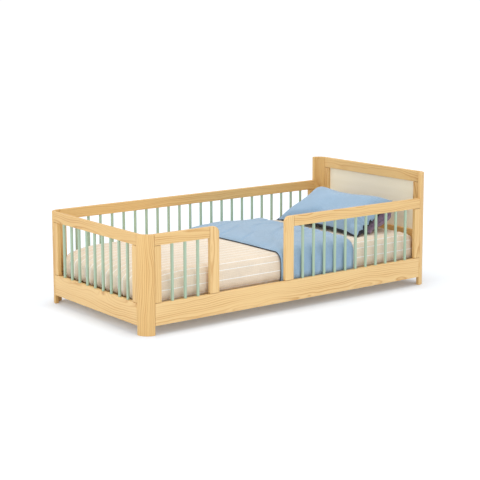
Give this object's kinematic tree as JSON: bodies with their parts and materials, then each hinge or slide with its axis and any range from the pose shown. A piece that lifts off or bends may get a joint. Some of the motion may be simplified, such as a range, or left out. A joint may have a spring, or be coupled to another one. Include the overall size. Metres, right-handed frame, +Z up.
{
  "type": "low child's bed with guard rails",
  "caption": "Low child's bed in natural pine with rounded corner posts, painted spindle guards, an entry gap, a panelled headboard, slats, mattress, duvet and pillows.",
  "frame": {"origin": "on the floor under the middle of the bed", "axes": "+X from the foot end to the head end, +Y from the open front side to the back side, +Z up"},
  "size_m": [1.98, 0.967, 0.664],
  "materials": {
    "pine": "clear satin varnish over knotty pine",
    "sawn_pine": "planed, unvarnished",
    "sage_paint": "satin paint on wood",
    "cream_paint": "satin paint on board",
    "zinc_steel": "zinc plated",
    "mattress_ticking": "woven cover over foam",
    "striped_sheet": "woven cotton with white stripes",
    "blue_cloth": "woven cotton, with a dark navy underside",
    "mauve_cloth": "woven cotton"
  },
  "bodies": {
    "root": {"back_bottom_rail": "pine", "back_ledger": "sawn_pine", "back_spindles": "sage_paint", "back_stile_foot": "pine", "back_stile_head": "pine", "back_top_rail": "pine", "blue_pillow": "blue_cloth", "bolt_cam_foot_back": "zinc_steel", "bolt_cam_foot_front": "zinc_steel", "bolt_cam_head_back": "zinc_steel", "bolt_cam_head_front": "zinc_steel", "centre_beam": "sawn_pine", "draw_bolt_foot_back": "zinc_steel", "draw_bolt_foot_front": "zinc_steel", "draw_bolt_head_back": "zinc_steel", "draw_bolt_head_front": "zinc_steel", "duvet": "blue_cloth", "fitted_sheet": "striped_sheet", "foot_beam_cleat": "sawn_pine", "foot_bottom_rail": "pine", "foot_centre_leg": "sawn_pine", "foot_post_back": "pine", "foot_post_front": "pine", "foot_spindles": "sage_paint", "foot_stile_back": "pine", "foot_stile_front": "pine", "foot_top_rail": "pine", "front_bottom_rail": "pine", "front_ledger": "sawn_pine", "head_beam_cleat": "sawn_pine", "head_centre_leg": "sawn_pine", "head_lower_board": "pine", "head_panel": "cream_paint", "head_post_back": "pine", "head_post_front": "pine", "head_stile_back": "pine", "head_stile_front": "pine", "head_top_rail": "pine", "long_guard_end_stile": "pine", "long_guard_free_stile": "pine", "long_guard_spindles": "sage_paint", "long_guard_top_rail": "pine", "mattress": "mattress_ticking", "mauve_pillow": "mauve_cloth", "short_guard_end_stile": "pine", "short_guard_free_stile": "pine", "short_guard_spindles": "sage_paint", "short_guard_top_rail": "pine", "slat_01": "sawn_pine", "slat_02": "sawn_pine", "slat_03": "sawn_pine", "slat_04": "sawn_pine", "slat_05": "sawn_pine", "slat_06": "sawn_pine", "slat_07": "sawn_pine", "slat_08": "sawn_pine", "slat_09": "sawn_pine", "slat_10": "sawn_pine", "slat_11": "sawn_pine", "slat_12": "sawn_pine"}
  },
  "joints": []
}
